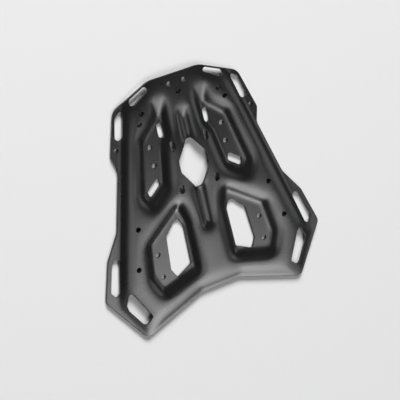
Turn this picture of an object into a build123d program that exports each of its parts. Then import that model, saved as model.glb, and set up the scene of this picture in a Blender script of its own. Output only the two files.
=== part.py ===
"""Motorcycle luggage rack: one plate pressed from sheet metal.

The raised face lies at height 0 and everything else is pressed down from it: the rim
with its lashing slots, four pockets and three grooves. +Y is the rider's end and +X
the right-hand side. All sizes are in millimetres.
"""
from build123d import *
from math import atan, hypot, tan
import os

os.makedirs("parts", exist_ok=True)

# The sheet and the radii of its bends, measured on the upper side
sheet = 4.0
rim_bend = 12.0
foot_bend = 6.0
pocket_mouth_bend = 15.0
pocket_floor_bend = 5.0
groove_mouth_bend = 7.0
groove_floor_bend = 3.0

# How far the pressed forms reach below the raised face
rim_drop = 6.5
pocket_depth = 8.0
groove_depth = 5.0

# How far each wall runs sideways on its way down
pocket_run = 9.0
groove_run = 4.7
front_rim_run = 16.0
side_rim_run = 9.0
corner_rim_run = 26.0
rear_rim_run = 17.0
neck_ramp_run = 27.0
groove_ramp_run = 17.0

# Radii of the forms' corners, seen from above
rim_corner = 16.0
pocket_corner = 11.0
jog_corner = 26.0
groove_corner = 2.5

# Outline, right half, from the rider's end to the rear: x, y and corner radius
front_edge = 85.2
rear_edge = -217.0
outline_half = [
    (37.5, front_edge, 35.0),
    (93.5, 60.0, 17.0),
    (111.2, 3.5, 6.0),
    (105.6, -17.0, 14.0),
    (127.9, -95.4, 22.0),
    (150.5, -129.5, 15.0),
    (167.0, -181.6, 10.0),
    (122.0, -249.6, 9.0),
    (29.7, rear_edge, 30.0),
]

# The raised face, right half, and the run of the rim wall after each corner
raised_half = [
    (72.6, 55.3, side_rim_run),
    (134.7, -170.7, corner_rim_run),
    (105.4, -225.2, rear_rim_run),
    (32.7, -199.5, rear_rim_run),
]
raised_front = 101.2

# Floors of the right-hand pockets
upper_floor = [
    (25.9, 110.0),
    (28.5, 110.0),
    (36.5, 33.0),
    (61.5, 10.5),
    (78.5, -62.0),
    (71.0, -75.3),
    (49.0, -57.7),
    (39.5, -6.0),
    (29.5, 11.0),
]
lower_floor = [
    (36.9, -91.0),
    (87.0, -128.5),
    (93.0, -171.5),
    (83.0, -195.0),
    (31.5, -181.0),
    (30.5, -114.0),
]
neck_foot = 35.0

# Grooves on the centre line
groove_floor = [(-4.4, 90.0), (4.4, 90.0), (4.0, -127.0), (-4.0, -127.0)]
groove_foot = 25.0

# Windows, right half or right-hand one, and the radius of their corners
window_corner = 4.0
centre_window_half = [(4.4, -5.7), (21.8, -30.6), (21.8, -46.6), (4.5, -73.4)]
upper_window = [(53.8, -43.2), (72.7, -57.5), (69.5, -68.0), (51.8, -54.3)]
lower_window = [
    (39.0, -107.8),
    (45.5, -108.2),
    (61.3, -125.1),
    (65.6, -171.5),
    (58.5, -185.1),
    (35.2, -173.3),
    (33.8, -118.0),
]

# Lashing slots in the rim, right-hand side, front to rear
slot_corner = 2.6
lashing_slots = [
    [(41.3, 74.0), (41.3, 77.2), (47.5, 80.0), (68.6, 69.4), (71.0, 62.0), (66.1, 59.3)],
    [(80.8, 54.9), (83.3, 58.6), (93.2, 50.9), (100.0, 24.6), (94.4, 20.1), (89.1, 23.6)],
    [
        (134.6, -133.9),
        (139.3, -128.3),
        (146.2, -134.9),
        (157.0, -171.2),
        (150.8, -180.8),
        (145.1, -176.0),
    ],
    [
        (128.3, -182.6),
        (134.0, -179.0),
        (140.6, -195.0),
        (138.9, -203.3),
        (123.7, -228.2),
        (119.0, -230.6),
        (109.0, -221.5),
    ],
]

# Bolt holes, right-hand ones: x, y
bolt_hole = 6.5
raised_holes = [(11.0, 72.6), (57.6, 46.6), (64.2, 34.0), (100.7, -99.8), (113.5, -152.6)]
floor_holes = [(54.4, -1.7), (54.4, -27.2), (79.1, -144.8), (79.1, -176.5)]
ear_hole = (102.0, 9.0)
centre_hole = (0.0, 59.9)

# Long holes, right-hand ones: centre x, centre y, length along Y, width
long_holes = [(25.1, -8.7, 13.5, 6.2), (26.9, -68.3, 12.0, 6.2), (34.5, 15.5, 20.0, 8.0)]

# Room around the plate that the forming and cutting shapes reach into
clear = 8.0
below = 40.0
surround = 400.0


def moved_out(points, amounts):
    """The polygon whose edges lie further out, each by its own amount."""
    count = len(points)
    turn = sum(
        points[i - 1][0] * points[i][1] - points[i][0] * points[i - 1][1] for i in range(count)
    )
    side = 1 if turn > 0 else -1
    lines = []
    for i in range(count):
        (x0, y0), (x1, y1) = points[i], points[(i + 1) % count]
        length = hypot(x1 - x0, y1 - y0)
        nx, ny = side * (y1 - y0) / length, side * (x0 - x1) / length
        lines.append((nx, ny, nx * x0 + ny * y0 + amounts[i]))
    corners = []
    for i in range(count):
        a0, b0, c0 = lines[i - 1]
        a1, b1, c1 = lines[i]
        det = a0 * b1 - a1 * b0
        corners.append(((c0 * b1 - c1 * b0) / det, (a0 * c1 - a1 * c0) / det))
    return corners


def both_halves(half):
    """A right half and its mirror image, as one closed list of points."""
    return half + [(-x, y) for x, y in reversed(half)]


def bend_shift(drop, run, depth):
    """How far a bend line moves towards the higher face, at a depth inside the sheet."""
    return depth * tan(atan(drop / run) / 2)


def walls_between(lower, low, upper, high):
    """A solid with straight walls from one polygon up to another."""
    bottom = [(x, y, low) for x, y in lower]
    top = [(x, y, high) for x, y in upper]
    rings = [bottom, top]
    for i in range(len(bottom)):
        rings.append([bottom[i - 1], bottom[i], top[i], top[i - 1]])
    return Solid(Shell([Face(Wire.make_polygon(ring)) for ring in rings]))


def turns_inwards(points, i):
    """True where the polygon, listed clockwise, has an inward corner."""
    (xa, ya), (xb, yb), (xc, yc) = points[i - 1], points[i], points[(i + 1) % len(points)]
    return (xb - xa) * (yc - yb) > (yb - ya) * (xc - xb)


def pocket_tool(floor, drop, run, corner, bend, depth, ramp_foot=None, ramp_run=None):
    """What a pocket takes away from the sheet's upper side, or from its lower side.

    A ramp, where there is one, rises forwards from its foot and replaces the front wall.
    """
    low = moved_out(floor, [bend_shift(drop, run, depth)] * len(floor))
    high = moved_out(low, [run * (drop + depth + clear) / drop] * len(floor))
    base = -drop - depth
    with BuildPart() as tool:
        add(walls_between(low, base, high, clear))
        for i in range(len(low)):
            x, y = (low[i][0] + high[i][0]) / 2, (low[i][1] + high[i][1]) / 2
            middle = Vector(x, y, (base + clear) / 2)
            radius = jog_corner - depth if turns_inwards(floor, i) else corner + depth
            if ramp_foot is None or floor[i][1] < ramp_foot:
                fillet(tool.edges().sort_by_distance(middle)[0], radius=radius)
        if ramp_foot is not None:
            slope = Plane(origin=(0, ramp_foot, -drop), x_dir=(1, 0, 0), z_dir=(0, -drop, ramp_run))
            split(bisect_by=slope.offset(-depth), keep=Keep.TOP)
            front = tool.faces().sort_by(Axis.Y)[-1]
            bends = tool.faces().sort_by(Axis.Z)[0].edges() + front.edges()
            bends = bends.filter_by_position(Axis.Z, base - 1, clear - 0.01)
        else:
            bends = tool.faces().sort_by(Axis.Z)[0].edges()
        fillet(ShapeList(set(bends)), radius=bend + depth)
    return tool.part


def mouths(form):
    """The edges round every pocket that opens in the form's highest face."""
    edges = ShapeList()
    for wire in form.faces().sort_by(Axis.Z)[-1].inner_wires():
        edges += wire.edges()
    return edges


def pressed_form(depth):
    """Everything under the sheet's upper side, or under its lower side."""
    top = -depth
    foot = -rim_drop - depth
    right = [(0.0, raised_front)] + [(x, y) for x, y, run in raised_half]
    runs = [front_rim_run] + [run for x, y, run in raised_half]
    crease = right + [(-x, y) for x, y in reversed(right[1:])]
    wall_runs = runs + [run for run in reversed(runs[:-1])]
    shifts = [bend_shift(rim_drop, run, depth) for run in wall_runs]
    high = moved_out(crease, [-shift for shift in shifts])
    low = moved_out(high, wall_runs)
    pocket = (pocket_depth, pocket_run, pocket_corner, pocket_floor_bend, depth)
    lower = pocket_tool(lower_floor, *pocket)
    upper = pocket_tool(upper_floor, *pocket, neck_foot, neck_ramp_run)
    shallow = (groove_depth, groove_run, groove_corner, groove_floor_bend, depth)
    groove = pocket_tool(groove_floor, *shallow, groove_foot, groove_ramp_run)
    with BuildPart() as form:
        add(walls_between(low, foot, high, top))
        for i in range(len(low)):
            x, y = (low[i][0] + high[i][0]) / 2, (low[i][1] + high[i][1]) / 2
            middle = Vector(x, y, (foot + top) / 2)
            radius = rim_corner + depth if turns_inwards(crease, i) else rim_corner - depth
            fillet(form.edges().sort_by_distance(middle)[0], radius=radius)
        fillet(form.faces().sort_by(Axis.Z)[-1].edges(), radius=rim_bend - depth)
        with BuildSketch(Plane.XY.offset(foot)):
            Rectangle(2 * surround, 2 * surround)
        extrude(amount=-below)
        feet = form.edges().filter_by_position(Axis.Z, foot, foot)
        feet = feet.filter_by_position(Axis.X, 1 - surround, surround - 1)
        feet = feet.filter_by_position(Axis.Y, 1 - surround, surround - 1)
        fillet(feet, radius=foot_bend + depth)
        for tool in [upper, mirror(upper, about=Plane.YZ), lower, mirror(lower, about=Plane.YZ)]:
            add(tool, mode=Mode.SUBTRACT)
        fillet(mouths(form), radius=pocket_mouth_bend - depth)
        around_pockets = mouths(form)
        add(groove, mode=Mode.SUBTRACT)
        fillet(mouths(form) - around_pockets, radius=groove_mouth_bend - depth)
    return form.part


def rounded_window(points, radius):
    """A window's outline with rounded corners."""
    with BuildSketch() as window:
        with BuildLine():
            FilletPolyline(*points, radius=radius, close=True)
        make_face()
    return window.sketch


with BuildSketch() as outline:
    with BuildLine():
        corners = outline_half + [(-x, y, radius) for x, y, radius in reversed(outline_half)]
        FilletPolyline(
            *[(x, y) for x, y, radius in corners],
            radius=[radius for x, y, radius in corners],
            close=True,
        )
    make_face()

with BuildPart() as pressed_plate:
    add(outline.sketch)
    extrude(amount=below / 2, both=True)
    add(pressed_form(0.0), mode=Mode.INTERSECT)
    add(pressed_form(sheet), mode=Mode.SUBTRACT)
    with BuildSketch(Plane.XY):
        add(rounded_window(both_halves(centre_window_half), window_corner))
        for points in [upper_window, lower_window] + lashing_slots:
            window = rounded_window(points, slot_corner)
            add(window)
            mirror(window, about=Plane.YZ)
        for x, y in raised_holes + floor_holes + [ear_hole]:
            with Locations((x, y), (-x, y)):
                Circle(bolt_hole / 2)
        with Locations(centre_hole):
            Circle(bolt_hole / 2)
        for x, y, length, width in long_holes:
            with Locations((x, y), (-x, y)):
                SlotOverall(length, width, rotation=90)
    extrude(amount=below / 2, both=True, mode=Mode.SUBTRACT)

# The origin is the middle of the plate at the height of the surface that it rests on
box = pressed_plate.part.bounding_box()
with BuildPart() as rack_plate:
    with Locations((0, -box.center().Y, -box.min.Z)):
        add(pressed_plate.part)

rack_plate.part.label = "rack_plate"
export_step(rack_plate.part, "parts/rack_plate.step")
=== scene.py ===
"""A motorcycle luggage rack on pale studio paper.

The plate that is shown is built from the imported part: its heights are read from above, its
bends are made as soft as pressed sheet has them, and its cut edges are broken.
"""
import math

import bmesh
import bpy
import numpy as np
from mathutils import Matrix, Quaternion, Vector
from mathutils.bvhtree import BVHTree
from mathutils.geometry import delaunay_2d_cdt


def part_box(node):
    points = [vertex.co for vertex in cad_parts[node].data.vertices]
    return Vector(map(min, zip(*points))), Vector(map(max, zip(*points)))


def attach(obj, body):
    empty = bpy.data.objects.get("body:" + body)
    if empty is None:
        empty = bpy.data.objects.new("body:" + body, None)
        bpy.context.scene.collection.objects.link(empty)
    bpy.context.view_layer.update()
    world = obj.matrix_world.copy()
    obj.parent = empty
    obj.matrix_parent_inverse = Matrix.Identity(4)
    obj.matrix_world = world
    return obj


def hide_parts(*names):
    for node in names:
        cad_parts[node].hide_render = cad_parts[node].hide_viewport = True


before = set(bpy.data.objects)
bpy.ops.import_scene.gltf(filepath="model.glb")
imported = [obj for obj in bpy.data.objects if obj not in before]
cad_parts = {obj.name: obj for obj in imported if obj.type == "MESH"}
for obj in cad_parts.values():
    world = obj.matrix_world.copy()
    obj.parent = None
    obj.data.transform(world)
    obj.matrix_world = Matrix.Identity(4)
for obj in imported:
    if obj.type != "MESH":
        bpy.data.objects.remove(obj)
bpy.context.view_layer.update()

scene = bpy.context.scene
scene.view_settings.view_transform = "Standard"

# The photograph's view, in metres and degrees: a long lens from the front left, rolled
AIM = (0, -0.0135, 0)
CAMERA_DISTANCE = 2.01
CAMERA_COMPASS = 142.65
CAMERA_HEIGHT = 60.89
CAMERA_ROLL = 110.51

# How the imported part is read: lengths in metres, leans as the height of a unit normal
CELL = 0.001  # between the points where heights are read
MARGIN = 0.012  # how far these points go on past the part
TOP_FACE = 0.3  # a face that leans up by more than this is of the upper side
CUT_WALL = 0.05  # a face that leans by less than this is a cut wall
SAME_POINT = (0.000002, 0.000005, 0.00001, 0.00002)  # the first that closes each loop is used
STRAY_LOOP = 5  # a loop with no more points than this is left out

# How heights are carried on over the openings: widths of blurs in cells
FILL_BLURS = (1, 2, 4, 8, 16, 32)
FILL_SHARE = 0.02  # the least share of known heights under a blur
FILL_ROUNDS = 300  # how often the openings' heights are evened out
FILL_SPREAD = 1.5

# The shown plate, in metres
SHEET = 0.004
MOUTH_SOFTNESS = 0.0068  # where the sheet turns down
BEND_SOFTNESS = 0.0024  # at every bend
CORNER_SOFTNESS = 0.001  # at the corners of the outline and of the larger openings
SMALL_HOLE = 0.055  # an opening whose edge is shorter than this keeps its form
STRIP = 0.0024  # the least width of metal between an opening and the outline
EDGE_BREAK = 0.0005  # the width of the broken edges
ARC_MIDDLE = 0.3  # how far the middle of a broken edge is set in, as a share of its width

# The shown plate's mesh, in metres
MESH_STEP = 0.0021
EDGE_STEP = 0.0011
EDGE_CLEARANCE = 1.2 * MESH_STEP  # between an edge and the even triangles
HOLE_POINTS = 20  # the fewest points around an opening
TOO_NEAR = 0.0000001  # points nearer than this become one

# A cut edge from the upper side to the lower one: how far it is set in, and how deep it lies
EDGE_PROFILE = (
    (ARC_MIDDLE * EDGE_BREAK, ARC_MIDDLE * EDGE_BREAK),
    (0, EDGE_BREAK),
    (0, SHEET - EDGE_BREAK),
    (ARC_MIDDLE * EDGE_BREAK, SHEET - ARC_MIDDLE * EDGE_BREAK),
)


# The plate's form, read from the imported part

def heights(tree, low, high):
    """The height of the upper side over a lattice of points, with nan at the openings."""
    xs = np.arange(low[0] - MARGIN, high[0] + MARGIN, CELL)
    ys = np.arange(low[1] - MARGIN, high[1] + MARGIN, CELL)
    field = np.full((len(ys), len(xs)), np.nan)
    down = Vector((0, 0, -1))
    for j, y in enumerate(ys):
        for i, x in enumerate(xs):
            place, normal, _, _ = tree.ray_cast(Vector((x, y, high[2] + 1)), down)
            if place is not None and normal.z > TOP_FACE:
                field[j, i] = place.z
    return xs, ys, field


def blurred(field, sigma):
    """The field under a round bell curve, sigma cells wide."""
    pad = int(4 * sigma) + 1
    wide = np.pad(field, pad, mode="edge")
    along_y = np.fft.fftfreq(wide.shape[0])[:, None]
    along_x = np.fft.rfftfreq(wide.shape[1])[None, :]
    bell = np.exp(-2 * (math.pi * sigma) ** 2 * (along_x ** 2 + along_y ** 2))
    soft = np.fft.irfft2(np.fft.rfft2(wide) * bell, wide.shape)
    return soft[pad:-pad, pad:-pad]


def filled(field):
    """The field carried on smoothly over its openings and past its outline."""
    known = np.isfinite(field)
    whole = np.where(known, field, 0.0)
    weight = known.astype(float)
    result = whole.copy()
    missing = ~known
    for sigma in FILL_BLURS:
        share = blurred(weight, sigma)
        ready = missing & (share > FILL_SHARE)
        result[ready] = blurred(whole, sigma)[ready] / share[ready]
        missing &= ~ready
    for _ in range(FILL_ROUNDS):
        result = np.where(known, field, blurred(result, FILL_SPREAD))
    return result


def softened(field):
    """Wide soft bends where the sheet turns down, and tighter ones where it turns up."""
    rounded = np.minimum(field, blurred(field, MOUTH_SOFTNESS / CELL))
    return blurred(rounded, BEND_SOFTNESS / CELL)


def sampler(xs, ys, field):
    """A function that reads the field's height at any points, blending between cells."""
    def at(points):
        u = (points[:, 0] - xs[0]) / CELL
        v = (points[:, 1] - ys[0]) / CELL
        i, j = u.astype(int), v.astype(int)
        a, b = u - i, v - j
        return (
            field[j, i] * (1 - a) * (1 - b) + field[j, i + 1] * a * (1 - b)
            + field[j + 1, i] * (1 - a) * b + field[j + 1, i + 1] * a * b
        )
    return at


# The outline and the openings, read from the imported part

def border(mesh, gap):
    """The points where the upper side meets a cut wall, and the points next to each."""
    joined = bmesh.new()
    joined.from_mesh(mesh)
    bmesh.ops.remove_doubles(joined, verts=joined.verts, dist=gap)
    bmesh.ops.dissolve_degenerate(joined, edges=joined.edges, dist=gap)
    joined.verts.index_update()
    joined.normal_update()
    points = np.array([vertex.co[:2] for vertex in joined.verts])
    near = {}
    for edge in joined.edges:
        leans = [face.normal.z for face in edge.link_faces]
        if len(leans) == 2 and max(leans) > TOP_FACE and min(map(abs, leans)) < CUT_WALL:
            a, b = (vertex.index for vertex in edge.verts)
            near.setdefault(a, []).append(b)
            near.setdefault(b, []).append(a)
    joined.free()
    return points, near


def loops_from_above(mesh):
    """The outline and every opening as closed rows of points, seen from above."""
    for gap in SAME_POINT:
        points, near = border(mesh, gap)
        if all(len(others) == 2 for others in near.values()):
            break
    return [points[loop] for loop in walked(near) if len(loop) > STRAY_LOOP]


def walked(near):
    """The closed rows of points that come from going from each point to the next."""
    left = set(near)
    loops = []
    for start in near:
        loop = []
        here = start
        while here in left:
            left.remove(here)
            loop.append(here)
            here = next((other for other in reversed(near[here]) if other in left), start)
        loops.append(loop)
    return loops


def area(loop):
    """The loop's signed area."""
    after = np.roll(loop, -1, axis=0)
    return 0.5 * np.sum(loop[:, 0] * after[:, 1] - after[:, 0] * loop[:, 1])


def evenly(loop):
    """The loop with evenly spaced points, running anticlockwise, and its length."""
    if area(loop) < 0:
        loop = loop[::-1]
    closed = np.vstack([loop, loop[:1]])
    run = np.concatenate([[0], np.cumsum(np.hypot(*np.diff(closed, axis=0).T))])
    count = max(HOLE_POINTS, int(round(run[-1] / EDGE_STEP)))
    marks = np.arange(count) * run[-1] / count
    return np.stack([np.interp(marks, run, closed[:, k]) for k in (0, 1)], 1), run[-1]


def softer_corners(loop, length):
    """The loop with its corners rounded off."""
    sigma = CORNER_SOFTNESS / (length / len(loop))
    rate = np.fft.fftfreq(len(loop))
    bell = np.exp(-2 * (math.pi * sigma * rate) ** 2)
    line = np.fft.ifft(np.fft.fft(loop[:, 0] + 1j * loop[:, 1]) * bell)
    return np.stack([line.real, line.imag], 1)


def moved(loop, amount):
    """The loop moved out by the amount."""
    along = np.roll(loop, -1, axis=0) - np.roll(loop, 1, axis=0)
    along /= np.hypot(along[:, 0], along[:, 1])[:, None]
    return loop + amount * np.stack([along[:, 1], -along[:, 0]], 1)


def held_back(loop, outline):
    """An opening's loop, nowhere nearer to the outline than the strip of metal."""
    gaps = loop[:, None, :] - outline[None, :, :]
    spans = np.hypot(gaps[..., 0], gaps[..., 1])
    nearest = spans.argmin(axis=1)
    rows = np.arange(len(loop))
    away = gaps[rows, nearest] / spans[rows, nearest][:, None]
    close = spans[rows, nearest] < STRIP
    return np.where(close[:, None], outline[nearest] + STRIP * away, loop)


def plate_edges(mesh):
    """The outline, and after it the openings' edges, as the plate is shown with them."""
    found = sorted(loops_from_above(mesh), key=lambda loop: -abs(area(loop)))
    outline, length = evenly(found[0])
    edges = [softer_corners(outline, length)]
    for opening in found[1:]:
        loop, length = evenly(opening)
        if length > SMALL_HOLE:
            loop, length = evenly(held_back(loop, edges[0]))
            loop = softer_corners(loop, length)
        edges.append(loop)
    return edges


# The sheet's mesh

def inside(points, loop):
    """True for each point that lies inside the loop."""
    result = np.zeros(len(points), bool)
    for (x0, y0), (x1, y1) in zip(loop, np.roll(loop, -1, axis=0)):
        if y0 == y1:
            continue
        crosses = (points[:, 1] < y0) != (points[:, 1] < y1)
        reach = x0 + (points[:, 1] - y0) * (x1 - x0) / (y1 - y0)
        result ^= crosses & (points[:, 0] < reach)
    return result


def lattice_within(edges, outward, low, high):
    """The corners of even triangles that fill the plate, clear of its edges."""
    rows = np.arange(low[1], high[1], MESH_STEP * math.sqrt(3) / 2)
    lattice = []
    for k, y in enumerate(rows):
        shift = MESH_STEP / 2 if k % 2 else 0
        lattice += [(x, y) for x in np.arange(low[0] + shift, high[0], MESH_STEP)]
    lattice = np.array(lattice)
    clear = [moved(loop, -EDGE_CLEARANCE * way) for loop, way in zip(edges, outward)]
    keep = inside(lattice, clear[0])
    for loop in clear[1:]:
        keep &= ~inside(lattice, loop)
    return lattice[keep]


def within(triangles, border):
    """The triangles to the left of the border's directed sides, spread up to the border."""
    owner = {}
    for k, (a, b, c) in enumerate(triangles):
        owner[a, b] = owner[b, c] = owner[c, a] = k
    queue = [owner[side] for side in border if side in owner]
    kept = set(queue)
    while queue:
        a, b, c = triangles[queue.pop()]
        for side in ((a, b), (b, c), (c, a)):
            if side in border:
                continue
            k = owner.get((side[1], side[0]))
            if k is not None and k not in kept:
                kept.add(k)
                queue.append(k)
    return [triangles[k] for k in sorted(kept)]


def flat_mesh(inner, outward, lattice):
    """The points and triangles between the edges, and each edge's row of point numbers."""
    rings = []
    sides = []
    start = 0
    for loop in inner:
        ring = list(range(start, start + len(loop)))
        rings.append(ring)
        sides += zip(ring, ring[1:] + ring[:1])
        start += len(loop)
    given = np.vstack(inner + [lattice])
    places, _, triangles, sources, _, _ = delaunay_2d_cdt(
        [Vector(point) for point in given], sides, [], 0, TOO_NEAR
    )
    number = np.zeros(len(given), int)
    for k, source in enumerate(sources):
        number[source] = k
    rings = [number[ring] for ring in rings]

    points = np.array([tuple(place) for place in places])
    triangles = np.array(triangles)
    a, b, c = (points[triangles[:, k]] for k in range(3))
    ab, ac = b - a, c - a
    clockwise = ab[:, 0] * ac[:, 1] < ab[:, 1] * ac[:, 0]
    triangles[clockwise] = triangles[clockwise][:, ::-1]
    border = set()
    for ring, way in zip(rings, outward):
        walk = ring[::way].tolist()
        border |= set(zip(walk, walk[1:] + walk[:1]))
    return points, within(triangles.tolist(), border), rings


def band(upper, lower, way):
    """The four-sided faces between two rows of point numbers."""
    faces = []
    for k in range(len(upper)):
        after = (k + 1) % len(upper)
        corners = (upper[k], lower[k], lower[after], upper[after])
        faces.append(tuple(int(corner) for corner in corners[::way]))
    return faces


def pressed_sheet(cad):
    """The plate as a closed sheet mesh with soft bends and broken cut edges."""
    mesh = cad.data
    corners = [vertex.co for vertex in mesh.vertices]
    tree = BVHTree.FromPolygons(corners, [tuple(face.vertices) for face in mesh.polygons])
    low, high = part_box(cad.name)
    xs, ys, field = heights(tree, low, high)
    top = sampler(xs, ys, softened(filled(field)))

    edges = plate_edges(mesh)
    outward = [1] + [-1] * (len(edges) - 1)
    inner = [moved(loop, -EDGE_BREAK * way) for loop, way in zip(edges, outward)]
    flat, triangles, rings = flat_mesh(inner, outward, lattice_within(edges, outward, low, high))

    # Upper side, lower side and the bands between them
    count = len(flat)
    above = top(flat)
    points = [np.column_stack([flat, above]), np.column_stack([flat, above - SHEET])]
    faces = [tuple(triangle) for triangle in triangles]
    faces += [tuple(corner + count for corner in reversed(triangle)) for triangle in triangles]
    total = 2 * count
    sharp = set()
    for loop, way, ring in zip(edges, outward, rings):
        rows = [ring]
        for inset, depth in EDGE_PROFILE:
            edge = moved(loop, -inset * way)
            points.append(np.column_stack([edge, top(edge) - depth]))
            rows.append(np.arange(total, total + len(loop)))
            total += len(loop)
        rows.append(ring + count)
        for upper, lower in zip(rows, rows[1:]):
            faces += band(upper, lower, way)
        for row in (rows[0].tolist(), rows[-1].tolist()):
            sharp |= {frozenset(pair) for pair in zip(row, row[1:] + row[:1])}

    shown = bpy.data.meshes.new("pressed_sheet")
    shown.from_pydata(np.vstack(points).tolist(), [], faces)
    shown.validate()
    shown.shade_smooth()
    flags = [frozenset(edge.vertices) in sharp for edge in shown.edges]
    shown.attributes.new("sharp_edge", "BOOLEAN", "EDGE").data.foreach_set("value", flags)
    return shown


# Materials

def shader(name):
    """A new material with its nodes, its links and its surface shader."""
    material = bpy.data.materials.new(name)
    material.use_nodes = True
    nodes = material.node_tree.nodes
    return material, nodes, material.node_tree.links, nodes["Principled BSDF"]


def powder_coat():
    """Satin black powder coat: a fine orange peel, with faint clouds in its tone and gloss."""
    material, nodes, links, surface = shader("powder_coat")
    place = nodes.new("ShaderNodeTexCoord")
    grain = nodes.new("ShaderNodeTexNoise")
    grain.inputs["Scale"].default_value = 1100
    grain.inputs["Detail"].default_value = 3
    cloud = nodes.new("ShaderNodeTexNoise")
    cloud.inputs["Scale"].default_value = 35
    cloud.inputs["Detail"].default_value = 4
    gloss = nodes.new("ShaderNodeMapRange")
    gloss.inputs["To Min"].default_value = 0.25
    gloss.inputs["To Max"].default_value = 0.31
    tone = nodes.new("ShaderNodeValToRGB")
    tone.color_ramp.elements[0].color = (0.006, 0.006, 0.0065, 1)
    tone.color_ramp.elements[1].color = (0.010, 0.010, 0.0105, 1)
    bump = nodes.new("ShaderNodeBump")
    bump.inputs["Strength"].default_value = 0.15
    bump.inputs["Distance"].default_value = 0.00012
    links.new(place.outputs["Object"], grain.inputs["Vector"])
    links.new(place.outputs["Object"], cloud.inputs["Vector"])
    links.new(cloud.outputs["Fac"], gloss.inputs["Value"])
    links.new(gloss.outputs["Result"], surface.inputs["Roughness"])
    links.new(cloud.outputs["Fac"], tone.inputs["Fac"])
    links.new(tone.outputs["Color"], surface.inputs["Base Color"])
    links.new(grain.outputs["Fac"], bump.inputs["Height"])
    links.new(bump.outputs["Normal"], surface.inputs["Normal"])
    return material


def floor_paper():
    """Plain pale studio paper."""
    material, _, _, surface = shader("floor_paper")
    surface.inputs["Base Color"].default_value = (0.86, 0.86, 0.86, 1)
    surface.inputs["Roughness"].default_value = 0.9
    surface.inputs["Specular IOR Level"].default_value = 0.1
    return material


# The plate, and the paper just below it

plate = bpy.data.objects.new("pressed_rack_plate", pressed_sheet(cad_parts["rack_plate"]))
plate.data.materials.append(powder_coat())
scene.collection.objects.link(plate)
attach(plate, "root")
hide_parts("rack_plate")

FLOOR_SIZE = 12
FLOOR_GAP = 0.0003
bpy.ops.mesh.primitive_plane_add(size=FLOOR_SIZE, location=(0, 0, -FLOOR_GAP))
floor = bpy.context.object
floor.name = "floor"
floor.data.materials.append(floor_paper())

# Softboxes: name, compass angle from +X, height angle, distance, size and power. The first
# ones light the paper, and the others are reflectors that show in the plate's gloss alone.
PAPER_LAMPS = [
    ("front", 85, 34, 8.0, 3.2, 790.0),
    ("overhead", -100, 70, 4.0, 2.4, 45.0),
]
REFLECTORS = [
    ("front_card", 115, 22, 1.5, 0.7, 11.2),
    ("rear_card", -76, 36, 1.1, 0.42, 5.0),
    ("rear_high_card", -54, 54, 1.1, 0.42, 2.1),
    ("rear_right_card", -54, 36, 1.1, 0.42, 1.0),
    ("rear_middle_card", -76, 54, 1.1, 0.42, 2.2),
    ("overhead_card", -100, 73, 1.1, 0.42, 1.5),
    ("right_card", -10, 36, 1.1, 0.42, 1.0),
]


def direction(compass, height):
    """The unit vector at an angle from +X and an angle above the floor."""
    around, up = math.radians(compass), math.radians(height)
    across = math.cos(up)
    return Vector((across * math.cos(around), across * math.sin(around), math.sin(up)))


def softbox(name, compass, height, distance, size, power):
    """A square area light that faces the plate."""
    data = bpy.data.lights.new(name, "AREA")
    data.size = size
    data.energy = power
    lamp = bpy.data.objects.new(name, data)
    towards = direction(compass, height)
    lamp.location = towards * distance
    lamp.rotation_euler = towards.to_track_quat("Z", "Y").to_euler()
    scene.collection.objects.link(lamp)
    return lamp


for lamp in PAPER_LAMPS:
    softbox(*lamp).visible_glossy = False
for card in REFLECTORS:
    softbox(*card).visible_diffuse = False

# A pale room for the camera, and only a breath of it on the plate
ROOM_ON_PLATE = 0.03
ROOM_FOR_CAMERA = 0.85
world = bpy.data.worlds.new("studio")
world.use_nodes = True
room = world.node_tree.nodes["Background"]
room.inputs["Color"].default_value = (1, 1, 1, 1)
rays = world.node_tree.nodes.new("ShaderNodeLightPath")
level = world.node_tree.nodes.new("ShaderNodeMapRange")
level.inputs["To Min"].default_value = ROOM_ON_PLATE
level.inputs["To Max"].default_value = ROOM_FOR_CAMERA
world.node_tree.links.new(rays.outputs["Is Camera Ray"], level.inputs["Value"])
world.node_tree.links.new(level.outputs["Result"], room.inputs["Strength"])
scene.world = world

lens = bpy.data.cameras.new("camera")
lens.sensor_width = 36
lens.lens = 135
lens.clip_end = 20
camera = bpy.data.objects.new("camera", lens)
view = direction(CAMERA_COMPASS, CAMERA_HEIGHT)
turn = view.to_track_quat("Z", "Y") @ Quaternion((0, 0, 1), math.radians(CAMERA_ROLL))
place = Matrix.Translation(Vector(AIM) + view * CAMERA_DISTANCE)
camera.matrix_world = place @ turn.to_matrix().to_4x4()
scene.collection.objects.link(camera)
scene.camera = camera
